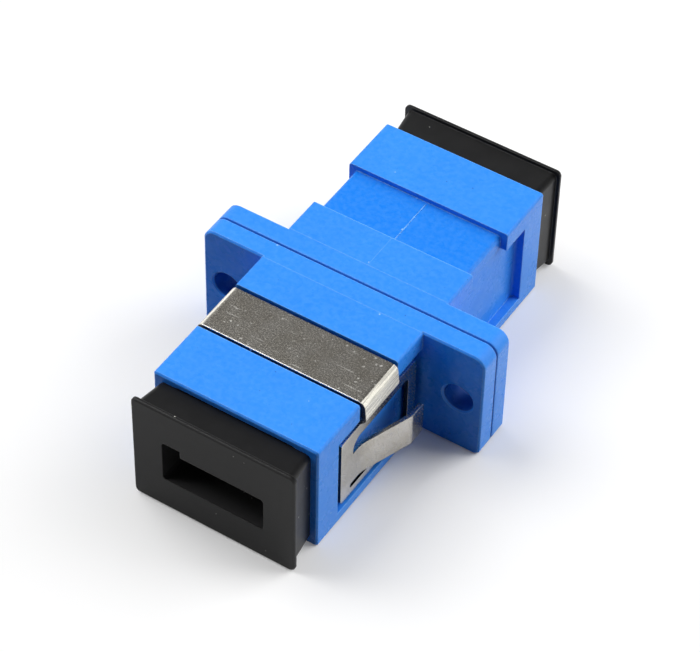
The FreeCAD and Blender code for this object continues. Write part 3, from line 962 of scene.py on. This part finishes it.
@dataclass(frozen=True)
class Softbox:
    """A square lamp that faces the adapter."""

    name: str
    direction: Point
    distance: float
    size: float
    radiance: float
    mirrored: bool = False
    colour: Colour = (1.0, 1.0, 1.0)

    def build(self) -> bpy.types.Object:
        """Return the lamp.

        Its power is radiance times area times pi, so that a white surface which the lamp fills is as bright
        as the radiance. Gloss sees the sky behind a lamp that is not mirrored.

        Returns:
            The lamp.
        """
        side = self.size * MM
        data = bpy.data.lights.new(self.name, "AREA")
        data.shape = "SQUARE"
        data.size = side
        data.energy = self.radiance * side * side * math.pi
        data.color = self.colour
        lamp = bpy.data.objects.new(self.name, data)
        away = Vector(self.direction).normalized()
        lamp.location = away * self.distance * MM
        lamp.rotation_mode = "QUATERNION"
        lamp.rotation_quaternion = (-away).to_track_quat("-Z", "Y")
        lamp.visible_glossy = self.mirrored
        bpy.context.scene.collection.objects.link(lamp)
        return lamp


@dataclass
class Studio:
    """White floor, soft lamps, pale surroundings and the camera."""

    floor_side: float = 2400.0
    floor_colour: Colour = (0.93, 0.93, 0.935)
    bounce_colour: Colour = (0.26, 0.26, 0.26)
    gloss_front: tuple[float, float] = (-16.0, -6.0)
    gloss_least: float = 0.5
    white_from: float = 7.0
    white_to: float = 35.0
    white_most: float = 0.75
    softboxes: tuple[Softbox, ...] = (
        Softbox("left_high", (-0.574, 0.0, 0.819), 420.0, 300.0, 4.0, mirrored=True),
        Softbox("left_low", (-0.847, -0.18, 0.50), 420.0, 300.0, 2.7),
        Softbox("rear_high", (0.406, 0.406, 0.819), 420.0, 300.0, 1.6),
        Softbox("rear_low", (0.612, 0.612, 0.50), 420.0, 300.0, 4.1),
    )
    sky_low: Colour = (1.0, 1.0, 1.0)
    sky_high: Colour = (0.15, 0.15, 0.15)
    sky_front: Colour = (0.0, 0.0, 0.0)
    card_front: Colour = (0.85, 0.85, 0.85)
    card_low: Colour = (0.80, 0.80, 0.80)
    sky_rise: Range = (0.2, 0.6)
    rear_from: Range = (-0.25, 0.35)
    rear_lean: float = 0.5
    aim: Point = (-1.09, -0.24, 0.355)
    azimuth: float = 32.05
    elevation: float = 46.77
    roll: float = 1.21
    distance: float = 195.56
    lens: float = 150.17
    sensor: float = 36.0
    shift: tuple[float, float] = (0.01749, -0.0099)

    def build_floor(self, height: float) -> bpy.types.Object:
        """Return the floor plane under the adapter.

        The floor is a plain pale surface that takes the adapter's shadow. For the camera, gloss and glass it
        fades most of the way to the white of the backdrop further out. It throws less light back than it
        shows, and gloss sees a part of that dull side in front of the adapter.

        Args:
            height: The floor's Z in metres.

        Returns:
            The plane.
        """
        half = self.floor_side * MM / 2
        mesh = bpy.data.meshes.new("floor")
        corners = [(-half, -half, height), (half, -half, height), (half, half, height), (-half, half, height)]
        mesh.from_pydata(corners, [], [(0, 1, 2, 3)])
        floor = bpy.data.objects.new("floor", mesh)
        bpy.context.scene.collection.objects.link(floor)
        material = bpy.data.materials.new("studio_floor")
        material.use_nodes = True
        sketch = NodeSketch(material.node_tree)
        place = sketch.place()
        flat = sketch.node("VectorMath", {0: place, 1: (1.0, 1.0, 0.0)}, operation="MULTIPLY").outputs[0]
        reach = sketch.node("VectorMath", {0: flat}, operation="LENGTH").outputs["Value"]
        parts = sketch.axes(place)
        behind = sketch.span(sketch.math("ADD", parts[0], parts[1]), *self.gloss_front, self.gloss_least)
        seen = self.seen(sketch, behind)
        white = sketch.span(reach, self.white_from, self.white_to, 0.0, self.white_most)
        fade = sketch.times(white, seen)
        tone = sketch.blend(seen, self.bounce_colour, self.floor_colour)
        paper = sketch.node("BsdfDiffuse", {"Color": tone})
        glow = sketch.node("Emission", {"Color": (1.0, 1.0, 1.0, 1.0), "Strength": 1.0})
        mixed = sketch.node("MixShader", {0: fade, 1: paper.outputs[0], 2: glow.outputs[0]})
        sketch.node("OutputMaterial", {"Surface": mixed.outputs[0]})
        mesh.materials.append(material)
        return floor

    @staticmethod
    def seen(sketch: NodeSketch, gloss: Socket) -> Socket:
        """Return how much of the backdrop a ray shows.

        Args:
            sketch: The sketch that asks.
            gloss: What a glossy ray shows. Camera and transmission rays show all of it.

        Returns:
            The share, from 0 to 1.
        """
        path = sketch.node("LightPath").outputs
        sharp = sketch.times(path[Rays.GLOSSY.value], gloss)
        straight = sketch.most(path[Rays.CAMERA.value], path[Rays.TRANSMISSION.value])
        return sketch.most(straight, sharp)

    def build_world(self) -> None:
        """Set the surroundings: white low down at the back, dimmer overhead and dark at the front.

        Gloss sees pale grey cards at the front and low down, and the camera sees plain white all round.
        """
        world = bpy.data.worlds.new("studio")
        world.use_nodes = True
        sketch = NodeSketch(world.node_tree)
        parts = sketch.axes(sketch.node("TexCoord").outputs["Generated"])
        height = sketch.span(parts[2], *self.sky_rise)
        path = sketch.node("LightPath").outputs
        low = sketch.blend(path[Rays.GLOSSY.value], self.sky_low, self.card_low)
        rear = sketch.blend(height, low, self.sky_high)
        back = sketch.math("ADD", parts[1], sketch.times(parts[0], self.rear_lean))
        toward_rear = sketch.span(back, *self.rear_from)
        front = sketch.blend(path[Rays.GLOSSY.value], self.sky_front, self.card_front)
        lit = sketch.node("Background", {"Color": sketch.blend(toward_rear, front, rear), "Strength": 1.0})
        white = sketch.node("Background", {"Color": (1.0, 1.0, 1.0, 1.0), "Strength": 1.0})
        camera = path[Rays.CAMERA.value]
        mixed = sketch.node("MixShader", {0: camera, 1: lit.outputs[0], 2: white.outputs[0]})
        sketch.node("OutputWorld", {"Surface": mixed.outputs[0]})
        bpy.context.scene.world = world

    def build_camera(self) -> bpy.types.Object:
        """Return the camera, and make it the scene's own.

        Returns:
            The camera.
        """
        data = bpy.data.cameras.new("camera")
        data.sensor_width = self.sensor
        data.lens = self.lens
        data.shift_x, data.shift_y = self.shift
        data.clip_start, data.clip_end = 0.01, 10.0
        camera = bpy.data.objects.new("camera", data)
        turn, tilt = math.radians(self.azimuth), math.radians(self.elevation)
        back = Vector((math.sin(turn) * math.cos(tilt), -math.cos(turn) * math.cos(tilt), math.sin(tilt)))
        camera.location = (Vector(self.aim) + back * self.distance) * MM
        camera.rotation_mode = "QUATERNION"
        level = (-back).to_track_quat("-Z", "Y")
        camera.rotation_quaternion = Quaternion(back, math.radians(self.roll)) @ level
        bpy.context.scene.collection.objects.link(camera)
        bpy.context.scene.camera = camera
        return camera

    def build(self, floor_height: float) -> None:
        """Set up the whole studio.

        Args:
            floor_height: The floor's Z in metres.
        """
        self.build_floor(floor_height)
        for softbox in self.softboxes:
            softbox.build()
        self.build_world()
        self.build_camera()
        bpy.context.scene.view_settings.view_transform = "Standard"
        log.info("studio ready with %d softboxes", len(self.softboxes))


def main() -> None:
    """Dress every piece, build the fine details and set up the studio."""
    logging.basicConfig(level=logging.INFO, format="%(name)s: %(message)s")
    housing = Housing()
    housing.dress()
    housing.build_mould_line()
    SpringClip().dress()
    LatchCore().dress()
    DustCaps().dress()
    Studio().build(cad_bounds[0].z)


if __name__ == "__main__":
    main()
